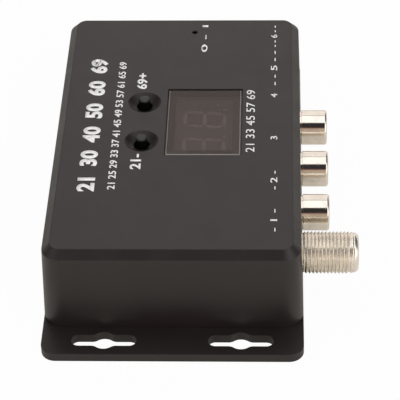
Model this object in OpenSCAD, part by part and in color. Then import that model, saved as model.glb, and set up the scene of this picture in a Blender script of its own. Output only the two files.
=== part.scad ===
// RF modulator box: a moulded case on a flanged base plate, with a row of sockets along its right side.
// X runs across the case towards the sockets, Y along it, Z up. The origin is the middle of the base plate's
// underside. Sizes are in millimetres.

/* [Case] */
// Width of the case at the top of its drafted walls
body_w = 56.8; // [56:0.5:66]
// Length of the case at the top of its drafted walls
body_l = 90; // [89:0.2:104]
// Height from the underside of the base plate to the top face
body_h = 23.2; // [22.6:0.1:27]
// Lean of the outer walls
draft_deg = 1.9; // [0.8:0.1:2.4]
// Plan radius of the upright corners
corner_r = 4; // [3.6:0.1:5.5]
// Bevel round the top face
top_bevel = 1.8; // [1:0.1:2]
// Thickness of the side walls
wall_t = 2; // [1.6:0.1:2.2]
// Thickness of the roof
roof_t = 2; // [1.8:0.1:2.3]

/* [Base plate] */
// Thickness of the base plate
base_t = 2.1; // [1.8:0.1:2.4]
// Reach of each end flange beyond the case
flange_reach = 8.6; // [7.6:0.1:12]
// Plan radius of the flange corners
flange_corner_r = 3.3; // [2:0.1:4]
// Distance between the two keyholes of a flange
key_pitch = 30.3; // [26:0.1:34]
// Length of a keyhole's slot
key_slot_l = 14.5; // [12:0.1:16]
// Width of a keyhole's slot
key_slot_w = 3.3; // [3:0.1:4]
// Distance of the keyholes from the foot of the wall
key_from_wall = 4.2; // [3.6:0.1:5]
// Diameter of the round hole in the middle of a keyhole
key_hole_d = 5.2; // [4.8:0.1:5.8]
// Radius that blends the round hole into the slot
key_blend_r = 2; // [1.2:0.1:2.4]

/* [Window and buttons] */
// Width of the window, across the case
window_w = 17.2; // [17:0.1:18.2]
// Length of the window, along the case
window_l = 24.7; // [24:0.1:27]
// Thickness of the window pane
window_t = 1; // [0.8:0.1:1.2]
// Gap round the window
window_gap = 0.25; // [0.1:0.05:0.4]
// Depth of the window's face below the case's top
window_sink = 0.12; // [0:0.02:0.3]
// Distance of the window's middle to the right of the case's middle
window_x = 6; // [5.8:0.1:6.1]
// Distance of the window's and the buttons' middle beyond the case's middle
panel_y = 2; // [1:0.1:3]
// Width of the opening under the pane
aperture_w = 13.6; // [13:0.1:14.6]
// Length of the opening under the pane
aperture_l = 19; // [18:0.1:20]
// Distance of the buttons to the left of the case's middle
button_x = 8.3; // [8.1:0.1:8.8]
// Distance between the two buttons
button_pitch = 14.7; // [13:0.1:16]
// Diameter of a finger dish at the top face
dish_d = 7.9; // [7:0.1:8.1]
// Depth of the sphere that cuts a finger dish
dish_depth = 1.5; // [1.2:0.05:1.6]
// Diameter of a button's stem
stem_d = 2.7; // [2.4:0.1:3]
// Gap all round a button's stem in the roof
stem_gap = 0.5; // [0.3:0.05:0.6]
// Height of a button's end above the top face
stem_proud = 1.1; // [0.8:0.1:1.6]
// Travel of a button
button_travel = 0.25; // [0.2:0.05:0.3]
// Diameter of the power light's hole
light_hole_d = 1.4; // [1:0.1:2]
// Distance of the power light to the right of the case's middle
light_x = 2.7; // [1:0.1:5]
// Distance of the power light beyond the case's middle
light_y = 38; // [36:0.1:38.6]

/* [Sockets] */
// Height of the large sockets' axes above the main board
socket_h = 7.4; // [6.8:0.1:7.8]
// Distance of the aerial socket from the near end of the case
aerial_from_end = 11.7; // [11.7:0.1:12.5]
// Distance from the aerial socket to the picture socket
aerial_pitch = 13.8; // [13.4:0.1:14.4]
// Distance between neighbouring phono sockets
phono_pitch = 15.75; // [14.5:0.05:16]
// Distance from the last phono socket to the remote jack
remote_pitch = 11.2; // [10.2:0.1:11.6]
// Distance from the remote jack to the supply socket
supply_pitch = 11.3; // [9:0.1:11.5]
// Diameter over the aerial socket's thread
aerial_d = 9.4; // [9.2:0.1:9.52]
// Reach of the aerial socket beyond the wall
aerial_reach = 12.5; // [11:0.1:14]
// Diameter of a phono socket's barrel
phono_d = 8.3; // [8.1:0.1:8.5]
// Reach of a phono socket beyond the wall
phono_reach = 6.3; // [5.5:0.1:9]
// Diameter of the remote jack's bore
jack_bore_d = 3.6; // [3.5:0.05:3.7]

/* [Boards and display] */
// Gap between the base plate and the main board
board_lift = 2.5; // [2.2:0.1:2.8]
// Thickness of the main board
board_t = 1.6; // [1.2:0.1:1.6]
// Gap between the main board and the long walls, at their top
board_side_gap = 0.7; // [0.5:0.1:1.4]
// Gap between the main board and the end walls, at their top
board_end_gap = 0.1; // [0.1:0.1:1]
// Thickness of the display board
panel_t = 1.2; // [1:0.1:1.6]
// Drop from the top face to the face of the display
display_drop = 3.4; // [3.1:0.1:3.6]
// Height of the display module
display_h = 7; // [6.4:0.1:7.2]
// Width of the display module, across the case
display_w = 12.8; // [12.4:0.1:13.2]
// Length of the display module, along the case
display_l = 20.2; // [19.8:0.1:21]
// Height of a figure
figure_h = 10.2; // [9:0.1:10.6]
// Width of a figure
figure_w = 6; // [5.2:0.1:6.4]
// Distance between the two figures
figure_pitch = 10.2; // [9.6:0.1:10.6]
// Width of a lit bar of a figure
bar_w = 1.25; // [1:0.05:1.4]
// Lean of the figures
figure_lean_deg = 6; // [0:1:10]

/* [Hidden] */

// Facets of large, middle and small round surfaces
fn_l = 64;
fn_m = 40;
fn_s = 24;
// Overrun of cuts, and the usual clearances between fitted pieces
over = 0.5;
fit_gap = 0.15;
slip_gap = 0.05;
neck_gap = 0.15;
seat_gap = 0.2;
pin_gap = 0.1;
window_edge = 0.35;

// Case heights and half sizes
slope = tan(draft_deg);
edge_z = body_h - top_bevel;
roof_z = body_h - roof_t;
draft_run = slope * (edge_z - base_t);
foot_w = body_w + 2 * draft_run;
foot_l = body_l + 2 * draft_run;
flange_y = foot_l / 2 + key_from_wall;

// Main board and socket heights
board_z = base_t + board_lift;
deck_z = board_z + board_t;
board_w = body_w - 2 * wall_t - 2 * board_side_gap;
board_l = body_l - 2 * wall_t - 2 * board_end_gap;
socket_z = deck_z + socket_h;
function wall_x(z) = body_w / 2 + slope * (edge_z - z);
function inner_x(z) = wall_x(z) - wall_t;
aerial_y = aerial_from_end - body_l / 2;
video_y = aerial_y + aerial_pitch;
left_y = video_y + phono_pitch;
right_y = left_y + phono_pitch;
jack_y = right_y + remote_pitch;
usb_y = jack_y + supply_pitch;

// Screw bosses in the case's corners
boss_r = 2.6;
boss_in = 0.3;
boss_x = body_w / 2 - corner_r - boss_in;
boss_y = body_l / 2 - corner_r + fit_gap;
boss_pilot_r = 1;
boss_depth = 12;
case_screw_r = 1.2;
case_screw_l = 10;
case_head_r = 2.3;
case_head_h = 1.2;
drive_r = 1;
drive_depth = 0.8;

// Board posts and their screws, placed by shares of the main board
post_shares = [[-0.41, -0.385], [-0.41, 0.385], [0.155, -0.24], [0.195, 0.42]];
post_r = 2.5;
post_pilot_r = 0.85;
post_depth = 3.2;
board_screw_r = 1;
board_screw_l = 4;
board_head_r = 1.9;
board_head_h = 1.3;

// Locating rim on the base plate
rim_t = 1.2;
rim_h = 1.5;

// Display board: it hangs from four bosses under the roof
display_z = body_h - display_drop;
panel_z = display_z - display_h;
panel_left = 14.5;
panel_right = 14.3;
panel_near = 16;
panel_far = 40.6;
panel_inset = 2.6;
hang_r = 2.1;
hang_pilot_r = 0.8;
hang_depth = 5;
display_screw_r = 0.95;
display_screw_l = 5;
hang_shares = [[0, 0], [1, 0], [0, 1], [1, 1]];

// Tact switches
switch_w = 6;
switch_h = 3.2;
switch_wall = 0.8;
switch_floor = 1.5;
switch_plate_t = 0.3;
dome_r = 1.9;
dome_h = 2 * button_travel;
dome_t = 0.12;
collar_r = 1.9;
collar_t = 1;
cover_hole_r = 1.65;
leg_t = 0.3;
leg_w = 0.8;
leg_spread = 4.5;
leg_drop = 1.4;
stem_round = 0.5;

// Power light
light_r = 1.5;
light_flange_r = 1.9;
light_flange_h = 1;
light_under_roof = 0.3;
light_h = 5.2;
lead_w = 0.5;
lead_pitch = 2;

// Display details
bar_t = 0.4;
point_r = 0.6;
point_out = 0.9;
bar_gap = 0.18;
pin_w = 0.5;
pin_pitch = 2.54;
pin_rows = 10.16;
pin_drop = 1.5;
pin_count = 5;
header_w = 2.5;
header_lift = 2.5;
header_x_share = -0.3;
header_y_share = 0.62;

// Aerial socket
aerial_neck = 0.3;
aerial_nose_l = 1.85;
aerial_nose_r = 4.5;
aerial_tip_r = 4.15;
aerial_groove = 0.25;
aerial_groove_at = 0.7;
aerial_bore_r = 3;
aerial_block_w = 9.6;
aerial_block_l = 5;
aerial_pin_r = 0.6;
aerial_contact_r = 1;
aerial_recess = 0.6;
aerial_tail_w = 1;

// Phono sockets
phono_t = 0.8;
phono_lip = 0.6;
phono_neck = 0.3;
phono_block_w = 10;
phono_block_l = 11.2;
phono_block_over = 5;
phono_block_bevel = 1.2;
phono_plate_t = 0.4;
phono_strap_w = 4;
phono_core_r = 2.1;
phono_pin_r = 1.62;
phono_recess = 0.5;
phono_contact_back = 1;
tail_t = 0.8;
tail_drop = 1.4;
tail_spread = 3.2;

// Remote jack
jack_w = 6.4;
jack_h = 5.2;
jack_l = 12;
jack_nose_r = 2.6;
jack_nose_gap = 0.15;
jack_bore_l = 13;
jack_spring_w = 1;
jack_spring_t = 0.25;
jack_spring_l = 7;
jack_set = 0.1;

// Supply socket
usb_w = 7.5;
usb_h = 2.6;
usb_l = 5;
usb_t = 0.25;
usb_bevel = 0.7;
usb_tongue_t = 0.6;
usb_tongue_w = 4;
usb_back = 1.2;
usb_set = 0.3;
usb_pin_w = 0.25;
usb_pin_pitch = 0.65;
usb_pin_t = 0.12;
usb_slot_gap = 0.3;

// Screened modulator can
can_left = 1.5;
can_gap = 0.3;
can_l = 17.4;
can_h = 10.6;
can_t = 0.4;
can_lid_skirt = 2.5;
can_hole_r = 1.5;
can_hole_share = 0.25;

// Chips and other parts on the main board, placed by shares of the board
chip_t = 2;
chip_lift = 0.2;
lead_t = 0.2;
lead_out = 1.2;
chip_pitch = 1.27;
chip_lead_w = 0.45;
controller_w = 7.5;
controller_l = 12.8;
controller_share = [-0.16, 0.06];
controller_leads = 10;
modulator_w = 4;
modulator_l = 10;
modulator_leads = 8;
crystal_l = 11;
crystal_w = 4.6;
crystal_h = 3.5;
crystal_base = 0.8;
crystal_share = [-0.39, 0.02];
regulator_w = 6.5;
regulator_l = 3.6;
regulator_h = 1.7;
regulator_tab = 1.6;
regulator_share = [0.08, 0.3];
can_cap_r = 3.1;
can_cap_h = 7.5;
can_cap_foot = 0.8;
can_cap_groove = 0.25;
cap_shares = [[-0.4, 0.22], [-0.4, -0.16], [-0.2, -0.33]];
inductor_r = 3.4;
inductor_h = 4;
inductor_waist = 0.7;
inductor_cheek = 0.7;
inductor_share = [-0.22, 0.31];
passive_l = 2;
passive_w = 1.25;
passive_h = 0.6;
passive_cap = 0.35;
passive_shares = [
    [-0.29, -0.12], [-0.23, -0.12], [-0.17, -0.12], [-0.11, -0.12], [-0.02, 0.02], [0.04, 0.02],
    [0.1, 0.02], [0.16, 0.1], [0.1, 0.1], [-0.29, 0.2], [-0.3, -0.24], [-0.1, -0.2]
];

function on_board(share) = [share[0] * board_w, share[1] * board_l];

// Turns a revolved or extruded shape so that its own height runs along +X, from x
module along_x(x, y, z) {
    translate([x, y, z]) rotate([0, 90, 0]) children();
}

// Puts its children at the four corners of a rectangle
module at_corners(x, y) {
    for (sx = [-1, 1], sy = [-1, 1]) translate([sx * x, sy * y, 0]) children();
}

// Box whose middle in plan is at x, y and whose underside is at z
module block(x, y, z, w, l, h) {
    translate([x - w / 2, y - l / 2, z]) cube([w, l, h]);
}

// Outline of a drafted wall from the corner's axis outward: low edge, top edge, and the bevel above it
function wall_outline(core, r, z_low, z_edge, z_top, bevel) = concat(
    [[0, z_low], [core + r + slope * (z_edge - z_low), z_low], [core + r, z_edge]],
    bevel > 0 ? [[core + r - bevel, z_top]] : [],
    [[0, z_top]]);

module wall_bar(core, r, z_low, z_edge, z_top, bevel, length) {
    outline = wall_outline(core, r, z_low, z_edge, z_top, bevel);
    rotate([90, 0, 0]) linear_extrude(height = length, center = true) {
        polygon(outline);
        mirror([1, 0]) polygon(outline);
    }
}

// Round-cornered block whose corner axes stand still while its radius grows downward with the draft
module drafted_block(w, l, r, z_low, z_edge, z_top, bevel) {
    core_x = w / 2 - r;
    core_y = l / 2 - r;
    wall_bar(core_x, r, z_low, z_edge, z_top, bevel, 2 * core_y);
    rotate([0, 0, 90]) wall_bar(core_y, r, z_low, z_edge, z_top, bevel, 2 * core_x);
    for (turn = [0 : 3]) {
        sx = turn == 0 || turn == 3 ? 1 : -1;
        sy = turn < 2 ? 1 : -1;
        translate([sx * core_x, sy * core_y, 0]) rotate([0, 0, 90 * turn])
            rotate_extrude(angle = 90, $fn = fn_l) polygon(wall_outline(0, r, z_low, z_edge, z_top, bevel));
    }
}

module rounded_plate(w, l, r, t) {
    linear_extrude(height = t) {
        square([w - 2 * r, l], center = true);
        square([w, l - 2 * r], center = true);
        at_corners(w / 2 - r, l / 2 - r) circle(r, $fn = fn_m);
    }
}

// Keyhole: a slot through a round hole, each side blended into the other by an arc
module keyhole() {
    half_w = key_slot_w / 2;
    hole_r = key_hole_d / 2;
    reach = hole_r + key_blend_r;
    rise = half_w + key_blend_r;
    run = sqrt(reach * reach - rise * rise);
    touch = hole_r / reach;
    translate([0, 0, -over]) linear_extrude(height = base_t + 2 * over) {
        square([key_slot_l - key_slot_w, key_slot_w], center = true);
        for (side = [-1, 1]) translate([side * (key_slot_l - key_slot_w) / 2, 0]) circle(half_w, $fn = fn_m);
        circle(hole_r, $fn = fn_m);
        for (a = [0, 1], b = [0, 1]) mirror([a, 0]) mirror([0, b]) difference() {
            polygon([[0, 0], [run, 0], [run, half_w], [touch * run, touch * rise]]);
            translate([run, rise]) circle(key_blend_r, $fn = fn_m);
        }
    }
}

module base_plate() {
    rim_w = 2 * inner_x(base_t) - 2 * fit_gap;
    rim_l = rim_w + body_l - body_w;
    rim_r = corner_r + draft_run - wall_t;
    color("#1e1d1d") difference() {
        union() {
            rounded_plate(foot_w, foot_l + 2 * flange_reach, flange_corner_r, base_t);
            translate([0, 0, base_t - slip_gap]) difference() {
                rounded_plate(rim_w, rim_l, rim_r, rim_h + slip_gap);
                translate([0, 0, -over])
                    rounded_plate(rim_w - 2 * rim_t, rim_l - 2 * rim_t, rim_r - rim_t / 2, rim_h + 2 * over);
                at_corners(boss_x, boss_y) translate([0, 0, -over])
                    cylinder(r = boss_r + seat_gap, h = rim_h + 2 * over, $fn = fn_m);
            }
            for (share = post_shares) translate(concat(on_board(share), base_t - slip_gap))
                cylinder(r = post_r, h = board_lift + slip_gap, $fn = fn_s);
        }
        for (side = [-1, 1], end = [-1, 1])
            translate([side * key_pitch / 2, end * flange_y, 0]) keyhole();
        at_corners(boss_x, boss_y) {
            translate([0, 0, -over]) cylinder(r = case_screw_r + fit_gap, h = base_t + 2 * over, $fn = fn_s);
            translate([0, 0, -over]) cylinder(r = case_head_r + fit_gap, h = over, $fn = fn_s);
            cylinder(r1 = case_head_r + fit_gap, r2 = case_screw_r + fit_gap, h = case_head_h, $fn = fn_s);
        }
        for (share = post_shares) translate(concat(on_board(share), board_z - post_depth))
            cylinder(r = post_pilot_r, h = post_depth + over, $fn = fn_s);
    }
}

// Bosses under the roof that carry the display board
module at_hangers() {
    low_x = panel_inset - panel_left;
    low_y = panel_y - panel_near + panel_inset;
    span_x = panel_left + panel_right - 2 * panel_inset;
    span_y = panel_near + panel_far - 2 * panel_inset;
    for (share = hang_shares) translate([low_x + share[0] * span_x, low_y + share[1] * span_y, 0]) children();
}

module finger_dish() {
    dish_r = dish_d / 2;
    ball_r = (dish_r * dish_r + dish_depth * dish_depth) / (2 * dish_depth);
    translate([0, 0, body_h + ball_r - dish_depth]) sphere(ball_r, $fn = fn_l);
    translate([0, 0, roof_z - over])
        cylinder(r = stem_d / 2 + stem_gap, h = roof_t + over, $fn = fn_m);
}

module at_buttons() {
    for (end = [-1, 1]) translate([-button_x, panel_y + end * button_pitch / 2, 0]) children();
}

module wall_hole(y, z, r) {
    along_x(inner_x(z) - over, y, z) cylinder(r = r, h = wall_t + 2 * over, $fn = fn_m);
}

module upper_housing() {
    cavity_w = 2 * inner_x(roof_z);
    color("#3a3736") difference() {
        union() {
            difference() {
                drafted_block(body_w, body_l, corner_r, base_t, edge_z, body_h, top_bevel);
                drafted_block(cavity_w, cavity_w + body_l - body_w, corner_r - wall_t,
                    base_t - over, roof_z, roof_z, 0);
            }
            at_corners(boss_x, boss_y) translate([0, 0, base_t])
                cylinder(r = boss_r, h = roof_z - base_t + slip_gap, $fn = fn_m);
            at_hangers() translate([0, 0, panel_z])
                cylinder(r = hang_r, h = roof_z - panel_z + slip_gap, $fn = fn_s);
        }
        block(window_x, panel_y, body_h - window_sink - window_t, window_w + 2 * window_gap,
            window_l + 2 * window_gap, window_t + window_sink + over);
        block(window_x, panel_y, roof_z - over, aperture_w, aperture_l, roof_t + over);
        at_buttons() finger_dish();
        translate([light_x, light_y, roof_z - over])
            cylinder(d = light_hole_d, h = roof_t + 2 * over, $fn = fn_s);
        wall_hole(aerial_y, socket_z, aerial_d / 2 + seat_gap);
        for (y = [video_y, left_y, right_y]) wall_hole(y, socket_z, phono_d / 2 + seat_gap);
        wall_hole(jack_y, deck_z + jack_h / 2, jack_nose_r + jack_nose_gap);
        translate([inner_x(deck_z) - over, usb_y - usb_w / 2 - usb_slot_gap, deck_z - usb_slot_gap])
            cube([wall_t + 2 * over, usb_w + 2 * usb_slot_gap, usb_h + 2 * usb_slot_gap]);
        at_corners(boss_x, boss_y) translate([0, 0, base_t - over])
            cylinder(r = boss_pilot_r, h = boss_depth + over, $fn = fn_s);
        at_hangers() translate([0, 0, panel_z - over])
            cylinder(r = hang_pilot_r, h = hang_depth + over, $fn = fn_s);
    }
}

module display_window() {
    top_z = body_h - window_sink;
    color("#4c4340") difference() {
        block(window_x, panel_y, top_z - window_t, window_w, window_l, window_t);
        for (side = [-1, 1]) {
            translate([window_x + side * window_w / 2, panel_y, top_z]) rotate([0, 45, 0])
                cube([window_edge, window_l + 2 * over, window_edge], center = true);
            translate([window_x, panel_y + side * window_l / 2, top_z]) rotate([45, 0, 0])
                cube([window_w + 2 * over, window_edge, window_edge], center = true);
        }
    }
}

module main_board() {
    color("#1d5c38") difference() {
        block(0, 0, board_z, board_w, board_l, board_t);
        at_corners(boss_x, boss_y) translate([0, 0, board_z - over])
            cylinder(r = boss_r + seat_gap, h = board_t + 2 * over, $fn = fn_m);
        at_corners(board_w / 2, board_l / 2)
            block(0, 0, board_z - over, 2 * (board_w / 2 - boss_x), 2 * (board_l / 2 - boss_y), board_t + 2 * over);
        for (share = post_shares) translate(concat(on_board(share), board_z - over))
            cylinder(r = board_screw_r + fit_gap, h = board_t + 2 * over, $fn = fn_s);
        at_aerial_tails() block(0, 0, board_z - over, aerial_tail_w + 2 * pin_gap, aerial_tail_w + 2 * pin_gap,
            board_t + 2 * over);
        at_phono_tails() block(0, 0, board_z - over, tail_t + 2 * pin_gap, tail_t + 2 * pin_gap,
            board_t + 2 * over);
    }
}

module display_board() {
    color("#1d5c38") difference() {
        translate([-panel_left, panel_y - panel_near, panel_z - panel_t])
            cube([panel_left + panel_right, panel_near + panel_far, panel_t]);
        at_hangers() translate([0, 0, panel_z - panel_t - over])
            cylinder(r = display_screw_r + fit_gap, h = panel_t + 2 * over, $fn = fn_s);
        at_display_pins() panel_hole(pin_w, pin_w);
        at_header_pins() panel_hole(pin_w, pin_w);
        at_led_leads() panel_hole(lead_w, lead_w);
        at_switch_legs() panel_hole(leg_t, leg_w);
    }
}

// Hole in the display board for a pin that is w by l
module panel_hole(w, l) {
    block(0, 0, panel_z - panel_t - over, w + 2 * pin_gap, l + 2 * pin_gap, panel_t + 2 * over);
}

// Six-sided bar, centred at u, v: u runs along the reading line and v up the figure
function bar_points(u, v, half, upright) = [
    for (p = [[-half, 0], [-half + bar_w / 2, bar_w / 2], [half - bar_w / 2, bar_w / 2],
            [half, 0], [half - bar_w / 2, -bar_w / 2], [-half + bar_w / 2, -bar_w / 2]])
        let (a = upright ? p[1] : p[0], b = upright ? p[0] : p[1]) [-(v + b), u + a + (v + b) * tan(figure_lean_deg)]];

module figure_bars(t) {
    half_u = (figure_w - bar_w) / 2;
    half_v = (figure_h - bar_w) / 2;
    linear_extrude(height = t) {
        for (v = [-half_v, 0, half_v]) polygon(bar_points(0, v, half_u - bar_gap, false));
        for (u = [-half_u, half_u], v = [-half_v / 2, half_v / 2])
            polygon(bar_points(u, v, half_v / 2 - bar_gap, true));
        translate([figure_h / 2 - point_r, figure_w / 2 + point_out]) circle(point_r, $fn = fn_s);
    }
}

module all_bars(t) {
    for (end = [-1, 1]) translate([window_x, panel_y + end * figure_pitch / 2, display_z - bar_t])
        figure_bars(t);
}

module display_module() {
    color("#151414") difference() {
        block(window_x, panel_y, panel_z, display_w, display_l, display_h);
        all_bars(bar_t + over);
    }
}

module display_segments() {
    color("#b3a298") all_bars(bar_t);
}

module at_display_pins() {
    for (row = [-1, 1], k = [0 : pin_count - 1])
        translate([window_x + row * (display_w / 2 - pin_w), panel_y + (k - (pin_count - 1) / 2) * pin_pitch, 0])
            children();
}

module display_pins() {
    color("silver") at_display_pins()
        block(0, 0, panel_z - panel_t - pin_drop, pin_w, pin_w, panel_t + pin_drop);
}

// Header that joins the display board to the main board
module at_header() {
    translate([header_x_share * panel_left, header_y_share * panel_far, 0]) children();
}

module at_header_pins() {
    at_header() for (k = [0 : pin_count - 1]) translate([0, (k - (pin_count - 1) / 2) * pin_pitch, 0]) children();
}

module header_block() {
    color("#171717") at_header_pins() block(0, 0, deck_z, header_w, pin_pitch, header_lift);
}

module header_pins() {
    color("goldenrod") at_header_pins()
        block(0, 0, deck_z + header_lift, pin_w, pin_w, panel_z - deck_z - header_lift);
}

// Button: a stem with a rounded end, and a collar that the switch's cover holds
module button(end) {
    collar_z = panel_z + switch_floor + dome_h + slip_gap;
    top_z = body_h + stem_proud;
    translate([-button_x, panel_y + end * button_pitch / 2, 0]) {
        translate([0, 0, collar_z]) cylinder(r = collar_r, h = collar_t, $fn = fn_m);
        rotate_extrude($fn = fn_m) {
            translate([0, collar_z]) square([stem_d / 2, top_z - stem_round - collar_z]);
            translate([0, collar_z]) square([stem_d / 2 - stem_round, top_z - collar_z]);
            translate([stem_d / 2 - stem_round, top_z - stem_round]) intersection() {
                circle(stem_round, $fn = fn_s);
                square(stem_round);
            }
        }
    }
}

module button_up() {
    color("#454241") button(1);
}

module button_down() {
    color("#454241") button(-1);
}

module switch_base(end) {
    color("#181818") translate([-button_x, panel_y + end * button_pitch / 2, 0]) difference() {
        block(0, 0, panel_z, switch_w, switch_w, switch_h);
        translate([0, 0, panel_z + switch_floor])
            cylinder(r = switch_w / 2 - switch_wall, h = switch_h, $fn = fn_m);
    }
}

module switch_base_up() {
    switch_base(1);
}

module switch_base_down() {
    switch_base(-1);
}

module switch_plate(end) {
    color("silver") translate([-button_x, panel_y + end * button_pitch / 2, panel_z + switch_h]) difference() {
        block(0, 0, 0, switch_w, switch_w, switch_plate_t);
        translate([0, 0, -over]) cylinder(r = cover_hole_r, h = switch_plate_t + 2 * over, $fn = fn_m);
    }
}

module switch_plate_up() {
    switch_plate(1);
}

module switch_plate_down() {
    switch_plate(-1);
}

// Domed disc of spring metal that snaps under the button
module snap_dome(end) {
    cap_r = (dome_r * dome_r + dome_h * dome_h) / (2 * dome_h);
    color("gainsboro") translate([-button_x, panel_y + end * button_pitch / 2, panel_z + switch_floor])
        intersection() {
            translate([0, 0, dome_h - cap_r]) difference() {
                sphere(cap_r, $fn = fn_m);
                sphere(cap_r - dome_t, $fn = fn_m);
            }
            cylinder(r = dome_r + slip_gap, h = dome_h + over, $fn = fn_m);
        }
}

module snap_dome_up() {
    snap_dome(1);
}

module snap_dome_down() {
    snap_dome(-1);
}

module at_switch_legs() {
    at_buttons() for (side = [-1, 1], row = [-1, 1])
        translate([side * (switch_w / 2 + leg_t / 2), row * leg_spread / 2, 0]) children();
}

module switch_legs() {
    color("silver") at_switch_legs()
        block(0, 0, panel_z - panel_t - leg_drop, leg_t, leg_w, panel_t + leg_drop + switch_h / 2);
}

module power_led() {
    top_z = roof_z - light_under_roof;
    color("#e8e4dc") translate([light_x, light_y, top_z - light_h]) {
        cylinder(r = light_flange_r, h = light_flange_h, $fn = fn_s);
        cylinder(r = light_r, h = light_h - light_r, $fn = fn_s);
        translate([0, 0, light_h - light_r]) sphere(light_r, $fn = fn_s);
    }
}

module at_led_leads() {
    for (side = [-1, 1]) translate([light_x + side * lead_pitch / 2, light_y, 0]) children();
}

module led_leads() {
    top_z = roof_z - light_under_roof - light_h;
    color("silver") at_led_leads()
        block(0, 0, panel_z - panel_t - pin_drop, lead_w, lead_w, top_z - panel_z + panel_t + pin_drop);
}

// Aerial socket
module at_aerial_tails() {
    for (row = [-1, 1])
        translate([inner_x(socket_z) - seat_gap - aerial_block_l / 2,
            aerial_y + row * (aerial_block_w / 2 - aerial_tail_w), 0]) children();
}

module aerial_shell() {
    tip_x = wall_x(socket_z) + aerial_reach;
    root_x = wall_x(socket_z - aerial_d / 2) + neck_gap;
    inner = inner_x(socket_z) - seat_gap;
    thread_x = tip_x - aerial_nose_l;
    groove_z = aerial_nose_l - aerial_groove_at;
    color("#c9c1b4") {
        difference() {
            union() {
                along_x(inner - slip_gap, aerial_y, socket_z)
                    cylinder(r = aerial_d / 2 - aerial_neck, h = thread_x - inner + slip_gap, $fn = fn_l);
                along_x(root_x, aerial_y, socket_z) cylinder(d = aerial_d, h = thread_x - root_x, $fn = fn_l);
                along_x(thread_x, aerial_y, socket_z) rotate_extrude($fn = fn_l) polygon([
                    [0, 0], [aerial_nose_r, 0], [aerial_nose_r, aerial_groove_at],
                    [aerial_nose_r - aerial_groove, aerial_groove_at + aerial_groove],
                    [aerial_nose_r, aerial_groove_at + 2 * aerial_groove], [aerial_tip_r, aerial_nose_l],
                    [0, aerial_nose_l]]);
                translate([inner - aerial_block_l, aerial_y - aerial_block_w / 2, deck_z])
                    cube([aerial_block_l, aerial_block_w, socket_h + aerial_block_w / 2]);
            }
            along_x(inner - aerial_block_l - over, aerial_y, socket_z)
                cylinder(r = aerial_bore_r, h = tip_x - inner + aerial_block_l + 2 * over, $fn = fn_m);
        }
        at_aerial_tails() block(0, 0, board_z - tail_drop, aerial_tail_w, aerial_tail_w, board_t + tail_drop);
    }
}

module aerial_insulator() {
    tip_x = wall_x(socket_z) + aerial_reach;
    back_x = inner_x(socket_z) - seat_gap - aerial_block_l;
    color("#ece7dc") difference() {
        along_x(back_x, aerial_y, socket_z)
            cylinder(r = aerial_bore_r - slip_gap, h = tip_x - aerial_recess - back_x, $fn = fn_m);
        along_x(back_x - over, aerial_y, socket_z)
            cylinder(r = aerial_contact_r + slip_gap, h = tip_x - aerial_recess - aerial_groove - back_x + over,
                $fn = fn_s);
        along_x(back_x, aerial_y, socket_z)
            cylinder(r = aerial_pin_r, h = tip_x - back_x, $fn = fn_s);
    }
}

module aerial_contact() {
    tip_x = wall_x(socket_z) + aerial_reach - aerial_recess - aerial_groove;
    back_x = inner_x(socket_z) - seat_gap - aerial_block_l;
    color("goldenrod") difference() {
        along_x(back_x - aerial_contact_r, aerial_y, socket_z)
            cylinder(r = aerial_contact_r, h = tip_x - back_x + aerial_contact_r, $fn = fn_s);
        along_x(inner_x(socket_z), aerial_y, socket_z)
            cylinder(r = aerial_pin_r, h = aerial_reach + wall_t, $fn = fn_s);
    }
}

// Phono sockets: a moulded block on the board, a plated barrel with its strap, an insulator and a contact
phono_face = inner_x(socket_z) - seat_gap - phono_plate_t;
phono_tip = wall_x(socket_z) + phono_reach;

module phono_block(y) {
    block_h = socket_h + phono_block_over;
    color("#1b1b1b") translate([phono_face, y + phono_block_w / 2, deck_z]) rotate([90, 0, 0])
        linear_extrude(height = phono_block_w) polygon([
            [0, 0], [0, block_h], [phono_block_bevel - phono_block_l, block_h],
            [-phono_block_l, block_h - phono_block_bevel], [-phono_block_l, 0]]);
}

module phono_shell(y) {
    bore_r = phono_d / 2 - phono_t;
    strap_z = deck_z + socket_h + phono_block_over;
    tube_l = phono_tip - phono_face;
    neck_l = wall_x(socket_z - phono_d / 2) + neck_gap - phono_face;
    color("#d2cdc4") {
        along_x(phono_face, y, socket_z) rotate_extrude($fn = fn_l) {
            translate([bore_r, 0]) square([phono_t - phono_neck, tube_l - phono_lip]);
            translate([bore_r, neck_l]) square([phono_t, tube_l - phono_lip - neck_l]);
            translate([bore_r, neck_l]) square([phono_t - phono_lip, tube_l - neck_l]);
            translate([phono_d / 2 - phono_lip, tube_l - phono_lip]) intersection() {
                circle(phono_lip, $fn = fn_m);
                square(phono_lip);
            }
        }
        difference() {
            translate([phono_face, y - phono_block_w / 2, deck_z])
                cube([phono_plate_t, phono_block_w, socket_h + phono_block_over + phono_plate_t]);
            along_x(phono_face - over, y, socket_z) cylinder(r = bore_r, h = phono_plate_t + 2 * over, $fn = fn_l);
        }
        translate([phono_face - phono_block_l + phono_block_bevel, y - phono_strap_w / 2, strap_z])
            cube([phono_block_l - phono_block_bevel + phono_plate_t, phono_strap_w, phono_plate_t]);
    }
}

module phono_insulator(y, tint) {
    color(tint) difference() {
        along_x(phono_face, y, socket_z)
            cylinder(r = phono_d / 2 - phono_t - slip_gap, h = phono_tip - phono_recess - phono_face, $fn = fn_m);
        along_x(phono_face - over, y, socket_z)
            cylinder(r = phono_core_r + slip_gap, h = phono_tip - phono_recess - phono_contact_back - phono_face + over,
                $fn = fn_m);
        along_x(phono_face, y, socket_z) cylinder(r = phono_pin_r, h = phono_tip - phono_face, $fn = fn_m);
    }
}

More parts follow.
